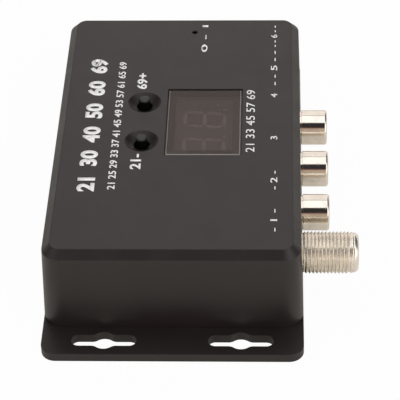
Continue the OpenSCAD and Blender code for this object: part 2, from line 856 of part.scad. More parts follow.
module phono_contact(y) {
    tube_l = phono_tip - phono_recess - phono_contact_back - phono_face;
    color("gainsboro") along_x(phono_face, y, socket_z) difference() {
        cylinder(r = phono_core_r, h = tube_l, $fn = fn_m);
        translate([0, 0, phono_contact_back]) cylinder(r = phono_pin_r, h = tube_l, $fn = fn_m);
    }
}

module video_block() {
    phono_block(video_y);
}

module video_shell() {
    phono_shell(video_y);
}

module video_insulator() {
    phono_insulator(video_y, "#e3bf1e");
}

module video_contact() {
    phono_contact(video_y);
}

module left_block() {
    phono_block(left_y);
}

module left_shell() {
    phono_shell(left_y);
}

module left_insulator() {
    phono_insulator(left_y, "#eeece6");
}

module left_contact() {
    phono_contact(left_y);
}

module right_block() {
    phono_block(right_y);
}

module right_shell() {
    phono_shell(right_y);
}

module right_insulator() {
    phono_insulator(right_y, "#b5241d");
}

module right_contact() {
    phono_contact(right_y);
}

module at_phono_tails() {
    for (y = [video_y, left_y, right_y], row = [-1, 1])
        translate([phono_face - phono_block_l / 2 + row * tail_spread, y, 0]) children();
}

module phono_tails() {
    color("silver") at_phono_tails() block(0, 0, board_z - tail_drop, tail_t, tail_t, board_t + tail_drop);
}

// Remote jack, flush with the wall
module jack_body() {
    axis_z = deck_z + jack_h / 2;
    face_x = inner_x(axis_z) - seat_gap;
    mouth_x = wall_x(axis_z) - jack_set;
    color("#161616") difference() {
        union() {
            translate([face_x - jack_l, jack_y - jack_w / 2, deck_z]) cube([jack_l, jack_w, jack_h]);
            along_x(face_x - slip_gap, jack_y, axis_z)
                cylinder(r = jack_nose_r, h = mouth_x - face_x + slip_gap, $fn = fn_m);
        }
        along_x(mouth_x - jack_bore_l, jack_y, axis_z)
            cylinder(d = jack_bore_d, h = jack_bore_l + over, $fn = fn_m);
        for (row = [-1, 1])
            translate([face_x - jack_l + jack_spring_w, jack_y + row * (jack_w / 2 - jack_spring_w) - jack_spring_w / 2,
                    axis_z - jack_spring_w])
                cube([jack_spring_l + 2 * slip_gap, jack_spring_w, 2 * jack_spring_w]);
    }
}

module jack_springs() {
    axis_z = deck_z + jack_h / 2;
    face_x = inner_x(axis_z) - seat_gap;
    color("goldenrod") for (row = [-1, 1])
        translate([face_x - jack_l + jack_spring_w + slip_gap,
                jack_y + row * (jack_w / 2 - jack_spring_w) - jack_spring_t / 2, axis_z - jack_spring_w])
            cube([jack_spring_l, jack_spring_t, 2 * jack_spring_w - slip_gap]);
}

// Supply socket: a folded shell, its tongue and five contacts
usb_mouth = wall_x(deck_z) - usb_set;

module usb_outline(inset) {
    half = usb_w / 2 - inset;
    polygon([
        [-half, usb_h - inset], [-half, usb_bevel], [-half + usb_bevel, inset],
        [half - usb_bevel, inset], [half, usb_bevel], [half, usb_h - inset]]);
}

module usb_shell() {
    color("#b9b9bb") translate([usb_mouth - usb_l, usb_y, deck_z]) rotate([90, 0, 90]) difference() {
        linear_extrude(height = usb_l) usb_outline(0);
        translate([0, 0, -over]) linear_extrude(height = usb_l + 2 * over) usb_outline(usb_t);
    }
}

module usb_tongue() {
    tongue_z = deck_z + usb_h / 2;
    back_w = usb_w - 2 * usb_bevel - 2 * usb_t;
    color("#1a1a1a") {
        translate([usb_mouth - usb_l, usb_y - back_w / 2, deck_z + usb_t + slip_gap])
            cube([usb_back, back_w, usb_h - 2 * usb_t - 2 * slip_gap]);
        translate([usb_mouth - usb_l, usb_y - usb_tongue_w / 2, tongue_z])
            cube([usb_l - usb_set, usb_tongue_w, usb_tongue_t]);
    }
}

module usb_contacts() {
    color("goldenrod") for (k = [-2 : 2])
        translate([usb_mouth - usb_l + usb_back, usb_y + k * usb_pin_pitch - usb_pin_w / 2,
                deck_z + usb_h / 2 - usb_pin_t])
            cube([usb_l - usb_back - 2 * usb_set, usb_pin_w, usb_pin_t]);
}

// Screened can behind the aerial socket
can_right = inner_x(socket_z) - seat_gap - aerial_block_l - aerial_contact_r - can_gap;
can_w = can_right - can_left;
can_x = (can_left + can_right) / 2;
can_far = video_y - phono_block_w / 2 - can_gap;
can_y = can_far - can_l / 2;

module rf_can() {
    color("#b4b4b0") difference() {
        block(can_x, can_y, deck_z, can_w, can_l, can_h);
        block(can_x, can_y, deck_z - over, can_w - 2 * can_t, can_l - 2 * can_t, can_h + 2 * over);
    }
}

module rf_can_lid() {
    lid_w = can_w + 2 * slip_gap + 2 * can_t;
    lid_l = can_l + 2 * slip_gap;
    top_z = deck_z + can_h;
    color("#c2c2be") difference() {
        block(can_x - can_t / 2, can_y, top_z - can_lid_skirt, lid_w - can_t, lid_l, can_lid_skirt + can_t);
        block(can_x, can_y, top_z - can_lid_skirt - over, can_w + 2 * slip_gap, can_l + 2 * can_gap,
            can_lid_skirt + over);
        for (end = [-1, 1]) translate([can_x, can_y + end * can_hole_share * can_l, top_z - over])
            cylinder(r = can_hole_r, h = can_t + 2 * over, $fn = fn_s);
    }
}

module modulator_chip() {
    color("#1c1c1e") block(can_x, can_y, deck_z + chip_lift, modulator_w, modulator_l, chip_t);
}

module controller_chip() {
    spot = on_board(controller_share);
    color("#1c1c1e") block(spot[0], spot[1], deck_z + chip_lift, controller_w, controller_l, chip_t);
}

// Bent leads of one chip, in two rows
module lead_rows(spot, w, count) {
    for (side = [-1, 1], k = [0 : count - 1])
        block(spot[0] + side * (w + lead_out) / 2, spot[1] + (k - (count - 1) / 2) * chip_pitch, deck_z,
            lead_out, chip_lead_w, lead_t);
}

module chip_leads() {
    color("silver") {
        lead_rows([can_x, can_y], modulator_w, modulator_leads);
        lead_rows(on_board(controller_share), controller_w, controller_leads);
    }
}

module crystal() {
    spot = on_board(crystal_share);
    color("#c4c4c2") translate([spot[0], spot[1], deck_z]) {
        for (end = [-1, 1]) translate([0, end * (crystal_l - crystal_w) / 2, 0])
            cylinder(d = crystal_w, h = crystal_h, $fn = fn_s);
        block(0, 0, 0, crystal_w, crystal_l - crystal_w, crystal_h);
        for (end = [-1, 1]) translate([0, end * (crystal_l - crystal_w) / 2, 0])
            cylinder(r = crystal_w / 2 + chip_lift, h = crystal_base, $fn = fn_s);
        block(0, 0, 0, crystal_w + 2 * chip_lift, crystal_l - crystal_w, crystal_base);
    }
}

module regulator() {
    spot = on_board(regulator_share);
    color("#1c1c1e") {
        block(spot[0], spot[1], deck_z, regulator_w, regulator_l, regulator_h);
        block(spot[0], spot[1] + (regulator_l + regulator_tab) / 2, deck_z, regulator_w / 2, regulator_tab, lead_t);
        for (k = [-1 : 1]) block(spot[0] + k * regulator_w / 3, spot[1] - (regulator_l + regulator_tab) / 2,
            deck_z, chip_lead_w, regulator_tab, lead_t);
    }
}

// Electrolytic capacitors: a can with a rolled groove over a square foot
module capacitors() {
    color("#bdbdbd") for (share = cap_shares) translate(concat(on_board(share), deck_z)) {
        block(0, 0, 0, 2 * can_cap_r, 2 * can_cap_r, can_cap_foot);
        rotate_extrude($fn = fn_s) polygon([
            [0, can_cap_foot], [can_cap_r, can_cap_foot], [can_cap_r, 2 * can_cap_foot],
            [can_cap_r - can_cap_groove, 2.5 * can_cap_foot], [can_cap_r, 3 * can_cap_foot],
            [can_cap_r, can_cap_h - can_cap_groove], [can_cap_r - can_cap_groove, can_cap_h], [0, can_cap_h]]);
    }
}

// Inductor: a winding between the two cheeks of a drum
module inductor() {
    color("#38322c") translate(concat(on_board(inductor_share), deck_z)) rotate_extrude($fn = fn_s) polygon([
        [0, 0], [inductor_r, 0], [inductor_r, inductor_cheek], [inductor_r - inductor_waist, inductor_cheek],
        [inductor_r - inductor_waist, inductor_h - inductor_cheek], [inductor_r, inductor_h - inductor_cheek],
        [inductor_r, inductor_h], [0, inductor_h]]);
}

module chip_passives() {
    color("#8a7a66") for (share = passive_shares) translate(concat(on_board(share), deck_z)) {
        block(0, 0, 0, passive_w, passive_l, passive_h);
        for (end = [-1, 1]) block(0, end * (passive_l - passive_cap) / 2, 0, passive_w + slip_gap, passive_cap,
            passive_h + slip_gap);
    }
}

// Cross recess in a screw head, cut down from the origin
module cross_recess() {
    for (turn = [0, 90]) rotate([0, 0, turn])
        block(0, 0, -drive_depth, 2 * drive_r, drive_r / 2, drive_depth + over);
}

module case_screws() {
    color("#3b3b3d") at_corners(boss_x, boss_y) difference() {
        union() {
            cylinder(r1 = case_head_r, r2 = case_screw_r, h = case_head_h, $fn = fn_s);
            cylinder(r = boss_pilot_r - slip_gap, h = case_screw_l, $fn = fn_s);
        }
        mirror([0, 0, 1]) cross_recess();
    }
}

// Pan-headed screw whose head stands on the origin
module pan_screw(r, length, head_r, head_h) {
    difference() {
        union() {
            translate([0, 0, -length]) cylinder(r = r, h = length, $fn = fn_s);
            cylinder(r1 = head_r, r2 = head_r - head_h / 3, h = head_h, $fn = fn_s);
        }
        translate([0, 0, head_h]) cross_recess();
    }
}

module board_screws() {
    color("silver") for (share = post_shares) translate(concat(on_board(share), deck_z))
        pan_screw(post_pilot_r - slip_gap, board_screw_l, board_head_r, board_head_h);
}

module display_screws() {
    color("silver") at_hangers() translate([0, 0, panel_z - panel_t]) mirror([0, 0, 1])
        pan_screw(hang_pilot_r - slip_gap, display_screw_l, board_head_r, board_head_h);
}

base_plate();
upper_housing();
display_window();
main_board();
display_board();
display_module();
display_segments();
display_pins();
header_block();
header_pins();
button_up();
button_down();
switch_base_up();
switch_base_down();
switch_plate_up();
switch_plate_down();
snap_dome_up();
snap_dome_down();
switch_legs();
power_led();
led_leads();
aerial_shell();
aerial_insulator();
aerial_contact();
video_block();
video_shell();
video_insulator();
video_contact();
left_block();
left_shell();
left_insulator();
left_contact();
right_block();
right_shell();
right_insulator();
right_contact();
phono_tails();
jack_body();
jack_springs();
usb_shell();
usb_tongue();
usb_contacts();
rf_can();
rf_can_lid();
modulator_chip();
controller_chip();
chip_leads();
crystal();
regulator();
capacitors();
inductor();
chip_passives();
case_screws();
board_screws();
display_screws();
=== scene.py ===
"""Looks of the rf modulator: camera, studio, materials, threaded aerial socket, figures, marks."""
import math

import bmesh
import bpy
from mathutils import Matrix, Vector


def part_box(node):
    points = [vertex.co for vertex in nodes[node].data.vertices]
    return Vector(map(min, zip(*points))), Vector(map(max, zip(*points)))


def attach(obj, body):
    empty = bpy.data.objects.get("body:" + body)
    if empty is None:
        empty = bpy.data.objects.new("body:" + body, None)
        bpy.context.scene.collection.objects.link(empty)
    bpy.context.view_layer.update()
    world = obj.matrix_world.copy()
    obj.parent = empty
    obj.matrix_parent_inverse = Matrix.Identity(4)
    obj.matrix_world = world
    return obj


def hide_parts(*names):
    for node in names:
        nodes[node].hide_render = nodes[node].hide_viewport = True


MM = 0.001
FULL_TURN = 2 * math.pi
TURNED = (1, 0.25, 0.25)  # stretches fine lines round a piece turned about x

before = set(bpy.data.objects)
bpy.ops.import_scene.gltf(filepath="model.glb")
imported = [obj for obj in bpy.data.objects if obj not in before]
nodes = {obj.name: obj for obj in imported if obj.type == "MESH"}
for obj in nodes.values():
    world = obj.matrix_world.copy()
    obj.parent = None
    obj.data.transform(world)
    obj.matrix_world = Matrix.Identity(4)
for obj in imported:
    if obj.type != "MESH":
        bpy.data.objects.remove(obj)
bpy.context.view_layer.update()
scene = bpy.context.scene


# ---------------------------------------------------------------- camera
def make_camera():
    """The photograph's camera, fitted to the case, the flange and the sockets."""
    yaw, pitch, roll = -0.0497, 0.6975, -0.0304
    place = Vector((22.659, -363.280, 305.654)) * MM
    data = bpy.data.cameras.new("camera")
    data.sensor_width = 36
    data.lens = 177.65
    data.clip_start = 0.01
    data.clip_end = 30
    look = Vector((math.sin(yaw) * math.cos(pitch), math.cos(yaw) * math.cos(pitch),
                   -math.sin(pitch)))
    right = Vector((math.cos(yaw), -math.sin(yaw), 0))
    up = right.cross(look)
    right, up = (math.cos(roll) * right + math.sin(roll) * up,
                 -math.sin(roll) * right + math.cos(roll) * up)
    camera = bpy.data.objects.new("camera", data)
    camera.matrix_world = \
        Matrix.Translation(place) @ Matrix((right, up, -look)).transposed().to_4x4()
    scene.collection.objects.link(camera)
    scene.camera = camera


# ---------------------------------------------------------------- node helpers
class Tree:
    """A few short calls for building a node tree."""

    def __init__(self, tree):
        self.t = tree
        self.coords = None

    def node(self, kind, **values):
        n = self.t.nodes.new("ShaderNode" + kind)
        for key, value in values.items():
            setattr(n, key, value)
        return n

    def put(self, socket, value):
        """Link an output to the socket, or set its value."""
        if isinstance(value, bpy.types.NodeSocket):
            self.t.links.new(value, socket)
        elif value is not None:
            socket.default_value = value

    def place(self, scale=(1, 1, 1), turn=(0, 0, 0)):
        """Object coordinates, stretched and turned."""
        if self.coords is None:
            self.coords = self.node("TexCoord").outputs["Object"]
        m = self.node("Mapping")
        self.put(m.inputs["Vector"], self.coords)
        m.inputs["Scale"].default_value = scale
        m.inputs["Rotation"].default_value = turn
        return m.outputs["Vector"]

    def noise(self, size, detail=3, rough=0.55, warp=0.0, scale=(1, 1, 1), turn=(0, 0, 0)):
        """Noise with features of about size millimetres."""
        n = self.node("TexNoise")
        self.put(n.inputs["Vector"], self.place(scale, turn))
        n.inputs["Scale"].default_value = 1000 / size
        n.inputs["Detail"].default_value = detail
        n.inputs["Roughness"].default_value = rough
        n.inputs["Distortion"].default_value = warp
        return n.outputs["Fac"]

    def cells(self, size):
        """Distance to the nearest of scattered points about size millimetres apart."""
        n = self.node("TexVoronoi")
        self.put(n.inputs["Vector"], self.place())
        n.inputs["Scale"].default_value = 1000 / size
        return n.outputs["Distance"]

    def math(self, kind, a, b=None, clamp=False):
        n = self.node("Math", operation=kind, use_clamp=clamp)
        self.put(n.inputs[0], a)
        if b is not None:
            self.put(n.inputs[1], b)
        return n.outputs[0]

    def span(self, value, low, high, to_low, to_high, smooth=False):
        """The value's range low to high, mapped to another and clamped."""
        n = self.node("MapRange")
        if smooth:
            n.interpolation_type = "SMOOTHSTEP"
        self.put(n.inputs["Value"], value)
        for name, v in (("From Min", low), ("From Max", high),
                        ("To Min", to_low), ("To Max", to_high)):
            n.inputs[name].default_value = v
        return n.outputs["Result"]

    def ramp(self, value, stops):
        """Colours by value; stops are (position, colour) pairs."""
        n = self.node("ValToRGB")
        marks = n.color_ramp.elements
        while len(marks) < len(stops):
            marks.new(0.5)
        for mark, (at, colour) in zip(marks, stops):
            mark.position = at
            mark.color = colour + (1,)
        self.put(n.inputs["Fac"], value)
        return n.outputs["Color"]

    def mix(self, factor, a, b):
        """Colour a where the factor is 0 and b where it is 1."""
        n = self.node("Mix", data_type="RGBA")
        self.put(n.inputs[0], factor)
        for socket, colour in ((n.inputs[6], a), (n.inputs[7], b)):
            linked = isinstance(colour, bpy.types.NodeSocket)
            self.put(socket, colour if linked else tuple(colour) + (1,))
        return n.outputs[2]

    def bump(self, height, depth, strength=1.0, normal=None):
        """Bump of depth millimetres."""
        n = self.node("Bump")
        n.inputs["Strength"].default_value = strength
        n.inputs["Distance"].default_value = depth * MM
        self.put(n.inputs["Height"], height)
        self.put(n.inputs["Normal"], normal)
        return n.outputs["Normal"]

    def rounded(self, radius):
        """Normals that round each edge by radius millimetres."""
        n = self.node("Bevel", samples=6)
        n.inputs["Radius"].default_value = radius * MM
        return n.outputs["Normal"]

    def edges(self, radius):
        """1 along edges of the piece and 0 on its flats."""
        n = self.node("VectorMath", operation="DOT_PRODUCT")
        self.put(n.inputs[0], self.rounded(radius))
        self.put(n.inputs[1], self.node("NewGeometry").outputs["Normal"])
        return self.span(n.outputs["Value"], 0.999, 0.9, 0, 1)

    def upward(self):
        """1 on a level top, 0 on a wall and -1 on an underside."""
        n = self.node("SeparateXYZ")
        self.put(n.inputs[0], self.node("NewGeometry").outputs["True Normal"])
        return n.outputs["Z"]


def tone(colour, gain):
    """The colour made brighter or darker."""
    return tuple(min(c * gain, 1) for c in colour)


def surface(name):
    """A new material; its tree has the material as m and the shader's inputs as s."""
    m = bpy.data.materials.new(name)
    m.use_nodes = True
    t = Tree(m.node_tree)
    t.t.nodes.clear()
    out = t.node("OutputMaterial")
    bsdf = t.node("BsdfPrincipled")
    t.t.links.new(bsdf.outputs[0], out.inputs["Surface"])
    t.m, t.s = m, bsdf.inputs
    return t


# ---------------------------------------------------------------- materials
def plastic(name, colour, rough, grain=0.25, depth=0.006, vary=0.12, edge=0.0, soften=0.12):
    """Moulded plastic: fine spark-eroded grain, clouding, polished patches, a painted highlight
    along the edges.

    grain and depth are the grain's size and height and soften the edge radius, in millimetres;
    vary is how far the clouds differ and edge how pale the painted highlight along the edges is.
    """
    t = surface(name)
    clouds = t.noise(12, 4, 0.6, 0.4)
    fine = t.noise(grain, 2, 0.6)
    base = t.mix(t.span(clouds, 0.3, 0.7, 0, 1), tone(colour, 1 - vary), tone(colour, 1 + vary))
    base = t.mix(t.span(fine, 0.35, 0.75, 0, 0.35), base, tone(colour, 1.35))
    # Painted highlight: the colour is paled along the edges and broken up by noise.
    if edge:
        edge_highlight = t.math("MULTIPLY", t.edges(0.3), t.span(t.noise(3, 5, 0.7), 0.35, 0.65, 0.2, 1))
        base = t.mix(t.math("MULTIPLY", edge_highlight, edge), base, tone(colour, 3.2))
    t.put(t.s["Base Color"], base)
    handled = t.noise(7, 5, 0.65, 0.8)
    t.put(t.s["Roughness"], t.math("ADD", t.span(handled, 0.35, 0.7, rough + 0.03, rough - 0.04),
                                   t.span(fine, 0.3, 0.7, -0.03, 0.03)))
    t.put(t.s["Normal"], t.bump(fine, depth, 0.8, t.rounded(soften)))
    return t.m


def metal(name, colour, rough, brush=(1, 1, 1), size=0.12):
    """Plated or bare metal: lines of size millimetres, stretched by brush, and faint dulling."""
    vary = 0.08
    t = surface(name)
    dull = t.noise(2.5, 5, 0.65, 0.6)
    lines = t.noise(size, 2, 0.5, 0, brush)
    base = t.mix(t.span(dull, 0.3, 0.72, 0, 1), tone(colour, 1 + vary), tone(colour, 1 - 2 * vary))
    base = t.mix(t.span(lines, 0.3, 0.7, 0, 0.2), base, tone(colour, 1.15))
    t.put(t.s["Base Color"], base)
    t.s["Metallic"].default_value = 1
    t.put(t.s["Roughness"], t.math("ADD", t.span(dull, 0.3, 0.75, rough - 0.04, rough + 0.09),
                                   t.span(lines, 0.3, 0.7, -0.02, 0.04)))
    t.put(t.s["Normal"], t.bump(lines, 0.002, 0.5, t.rounded(0.05)))
    return t.m


def smoked_window():
    """Smoked red-brown acrylic over the display: polished, faintly wiped, with a painted highlight
    along its bevel.

    Only the top face holds light back; the pane's other faces let all of it pass.
    """
    t = surface("smoked_window")
    haze = t.noise(9, 4, 0.6, 0.5)
    wipe = t.noise(6, 2, 0.5, 0.3, (1, 0.2, 1), (0, 0, 0.4))
    facing = t.upward()
    top = t.math("GREATER_THAN", facing, 0.4)
    highlighted_rim = t.math("MULTIPLY", top, t.math("LESS_THAN", facing, 0.9))
    tint = t.mix(haze, (0.039, 0.0235, 0.0175), (0.045, 0.027, 0.0205))
    # Painted highlight: the bevel's pale colour; its added roughness stands for the frosted cut.
    t.put(t.s["Base Color"], t.mix(highlighted_rim, tint, (0.34, 0.31, 0.29)))
    polish = t.math("ADD", t.span(haze, 0.3, 0.7, 0.16, 0.22), t.math("MULTIPLY", highlighted_rim, 0.3))
    t.put(t.s["Roughness"], t.math("ADD", polish, t.span(wipe, 0.4, 0.8, 0, 0.05)))
    t.put(t.s["Normal"], t.bump(wipe, 0.002, 0.2))
    density = t.math("ADD", t.span(haze, 0.2, 0.8, 0.66, 0.70), highlighted_rim, True)
    t.put(t.s["Alpha"], t.math("MULTIPLY", density, top))
    t.s["IOR"].default_value = 1.49
    return t.m


def button_top():
    """Button moulding: a polished domed top over rough sides painted near black as shade."""
    t = surface("button_plastic")
    top = t.span(t.upward(), 0.25, 0.75, 0, 1, True)
    wear = t.noise(1.5, 4, 0.6, 0.4)
    fine = t.noise(0.2, 2, 0.6)
    lit = t.mix(wear, (0.012, 0.0112, 0.0108), (0.018, 0.0168, 0.016))
    # Painted shade: the sides get a near-black colour and the top keeps its own colour.
    t.put(t.s["Base Color"], t.mix(top, (0.002, 0.002, 0.002), lit))
    t.put(t.s["Roughness"], t.math("ADD", t.span(top, 0, 1, 0.75, 0.42),
                                   t.span(wear, 0.3, 0.7, 0.04, -0.04)))
    t.put(t.s["Specular IOR Level"], t.span(top, 0, 1, 0.06, 0.5))
    t.put(t.s["Normal"], t.bump(fine, 0.004, 0.7, t.rounded(0.12)))
    return t.m


def board():
    """Printed board: green resist over copper tracks, with tinned pads."""
    t = surface("board_green")
    weave = t.noise(0.35, 2, 0.5)
    n = t.node("TexBrick", offset=0.35, squash=1.4, squash_frequency=3)
    t.put(n.inputs["Vector"], t.place((1, 1, 1), (0, 0, 0.785)))
    for key, value in (("Scale", 140), ("Mortar Size", 0.06), ("Mortar Smooth", 0.1),
                       ("Brick Width", 0.9), ("Row Height", 0.22)):
        n.inputs[key].default_value = value
    tracks = n.outputs["Fac"]
    pads = t.math("LESS_THAN", t.cells(2.1), 0.16)
    base = t.mix(tracks, (0.006, 0.085, 0.022), (0.012, 0.15, 0.04))
    base = t.mix(t.span(weave, 0.4, 0.7, 0, 0.4), base, (0.004, 0.05, 0.014))
    t.put(t.s["Base Color"], t.mix(pads, base, (0.6, 0.58, 0.54)))
    t.put(t.s["Metallic"], pads)
    t.put(t.s["Roughness"], t.math("ADD", t.span(weave, 0.3, 0.7, 0.24, 0.34),
                                   t.math("MULTIPLY", pads, 0.08)))
    relief = t.math("ADD", t.math("MULTIPLY", tracks, 0.6), pads)
    t.put(t.s["Normal"], t.bump(relief, 0.03, 0.6))
    return t.m


def figures():
    """Pale diffusing resin of the unlit figure bars."""
    t = surface("segment_resin")
    haze = t.noise(1.2, 4, 0.6)
    t.put(t.s["Base Color"], t.mix(haze, (0.86, 0.75, 0.68), (0.94, 0.84, 0.77)))
    t.put(t.s["Roughness"], t.span(haze, 0.3, 0.7, 0.35, 0.5))
    t.put(t.s["Normal"], t.bump(t.noise(0.2, 2), 0.004, 0.5))
    t.s["Subsurface Weight"].default_value = 0.15
    t.s["Subsurface Radius"].default_value = (0.0006, 0.0004, 0.0003)
    return t.m


def clear_resin():
    """Water-clear lamp resin over a pale frame."""
    t = surface("clear_resin")
    haze = t.noise(0.8, 4, 0.6)
    t.put(t.s["Base Color"], t.mix(haze, (0.62, 0.62, 0.58), (0.8, 0.8, 0.76)))
    t.put(t.s["Roughness"], t.span(haze, 0.3, 0.7, 0.05, 0.14))
    t.put(t.s["Normal"], t.bump(haze, 0.003, 0.3))
    t.s["Coat Weight"].default_value = 0.5
    return t.m


def sleeve():
    """Shrunk capacitor sleeve with its pale stripe."""
    t = surface("capacitor_sleeve")
    ripple = t.noise(0.5, 3, 0.6, 0.2, (1, 1, 0.3))
    across = t.node("SeparateXYZ")
    t.put(across.inputs[0], t.place((160, 160, 1)))
    stripe = t.math("GREATER_THAN", t.math("SINE", across.outputs["X"]), 0.86)
    dark = t.mix(ripple, (0.008, 0.01, 0.03), (0.014, 0.018, 0.05))
    t.put(t.s["Base Color"], t.mix(stripe, dark, (0.5, 0.52, 0.55)))
    t.put(t.s["Roughness"], t.span(ripple, 0.3, 0.7, 0.22, 0.36))
    t.put(t.s["Normal"], t.bump(ripple, 0.01, 0.5))
    return t.m


def ceramic():
    """Sintered chip bodies, some tan and some black."""
    t = surface("passive_ceramic")
    grit = t.noise(0.12, 3, 0.6)
    kind = t.span(t.noise(1.4, 1, 0.4), 0.45, 0.55, 0, 1)
    tan = t.mix(grit, (0.28, 0.2, 0.13), (0.4, 0.3, 0.2))
    black = t.mix(grit, (0.02, 0.02, 0.022), (0.05, 0.05, 0.055))
    t.put(t.s["Base Color"], t.mix(kind, tan, black))
    t.put(t.s["Roughness"], t.span(grit, 0.3, 0.7, 0.4, 0.6))
    t.put(t.s["Normal"], t.bump(grit, 0.01, 0.6))
    return t.m


def ink():
    """White pad-printed ink, thin and slightly uneven."""
    t = surface("white_ink")
    patch = t.noise(1.1, 4, 0.65, 0.3)
    fine = t.noise(0.12, 2, 0.6)
    t.put(t.s["Base Color"], t.mix(t.span(patch, 0.3, 0.7, 0, 1), (0.88, 0.88, 0.87),
                                   (0.95, 0.95, 0.94)))
    t.put(t.s["Roughness"], t.span(fine, 0.3, 0.7, 0.45, 0.62))
    t.put(t.s["Normal"], t.bump(fine, 0.003, 0.6))
    return t.m


def dress_nodes():
    """Give every CAD node its material."""
    looks = {
        plastic("case_plastic", (0.0128, 0.0088, 0.0082), 0.41, grain=0.3, depth=0.007, edge=0.45,
                soften=0.32): ["upper_housing"],
        plastic("base_plastic", (0.0112, 0.0080, 0.0076), 0.46, grain=0.35, depth=0.008, edge=0.35,
                soften=0.25): ["base_plate"],
        plastic("black_plastic", (0.014, 0.014, 0.015), 0.38, soften=0.08): [
            "display_module", "header_block", "switch_base_up", "switch_base_down", "jack_body",
            "usb_tongue", "video_block", "left_block", "right_block"],
        button_top(): ["button_up", "button_down"],
        plastic("white_plastic", (0.78, 0.77, 0.73), 0.4, vary=0.03): [
            "aerial_insulator", "left_insulator"],
        plastic("yellow_plastic", (0.80, 0.50, 0.02), 0.38, vary=0.05): ["video_insulator"],
        plastic("red_plastic", (0.55, 0.012, 0.012), 0.38, vary=0.06): ["right_insulator"],
        plastic("chip_epoxy", (0.018, 0.018, 0.02), 0.55, grain=0.12, depth=0.01, soften=0.06): [
            "modulator_chip", "controller_chip", "regulator"],
        metal("tinned_metal", (0.70, 0.68, 0.64), 0.3): [
            "display_pins", "switch_plate_up", "switch_plate_down", "switch_legs", "led_leads",
            "phono_tails", "usb_shell", "chip_leads"],
        metal("gold_metal", (0.86, 0.62, 0.26), 0.22): [
            "header_pins", "aerial_contact", "jack_springs", "usb_contacts"],
        metal("spring_metal", (0.66, 0.63, 0.57), 0.22, brush=(0.1, 1, 1)): [
            "snap_dome_up", "snap_dome_down", "video_contact", "left_contact", "right_contact"],
        metal("nickel_plate", (0.84, 0.775, 0.69), 0.09, brush=TURNED, size=0.15): [
            "aerial_shell", "video_shell", "left_shell", "right_shell"],
        metal("can_tinplate", (0.62, 0.61, 0.58), 0.28, brush=(0.08, 1, 1)): [
            "rf_can", "rf_can_lid", "crystal"],
        metal("screw_steel", (0.42, 0.41, 0.40), 0.3, brush=(1, 1, 0.2)): [
            "case_screws", "board_screws", "display_screws"],
        board(): ["main_board", "display_board"],
        plastic("ferrite", (0.03, 0.03, 0.033), 0.5, grain=0.15, depth=0.015, soften=0.05): [
            "inductor"],
        smoked_window(): ["display_window"],
        figures(): ["display_segments"],
        clear_resin(): ["power_led"],
        sleeve(): ["capacitors"],
        ceramic(): ["chip_passives"],
    }
    for material, names in looks.items():
        for name in names:
            slots = nodes[name].data.materials
            if len(slots):
                for k in range(len(slots)):
                    slots[k] = material
            else:
                slots.append(material)
    left = set(nodes) - {n for names in looks.values() for n in names}
    if left:
        raise SystemExit("no material for " + ", ".join(sorted(left)))


# ---------------------------------------------------------------- the scene's own pieces
def new_piece(name, mesh, material, smooth_below=None):
    """The mesh as a named piece that rides the case.

    Edges of less than smooth_below degrees are shaded smooth.
    """
    bmesh.ops.recalc_face_normals(mesh, faces=mesh.faces)
    data = bpy.data.meshes.new(name)
    mesh.to_mesh(data)
    mesh.free()
    data.materials.append(material)
    piece = bpy.data.objects.new(name, data)
    scene.collection.objects.link(piece)
    if smooth_below:
        with bpy.context.temp_override(active_object=piece, object=piece, selected_objects=[piece],
                                       selected_editable_objects=[piece]):
            bpy.ops.object.shade_smooth_by_angle(angle=math.radians(smooth_below))
    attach(piece, "case")
    return piece


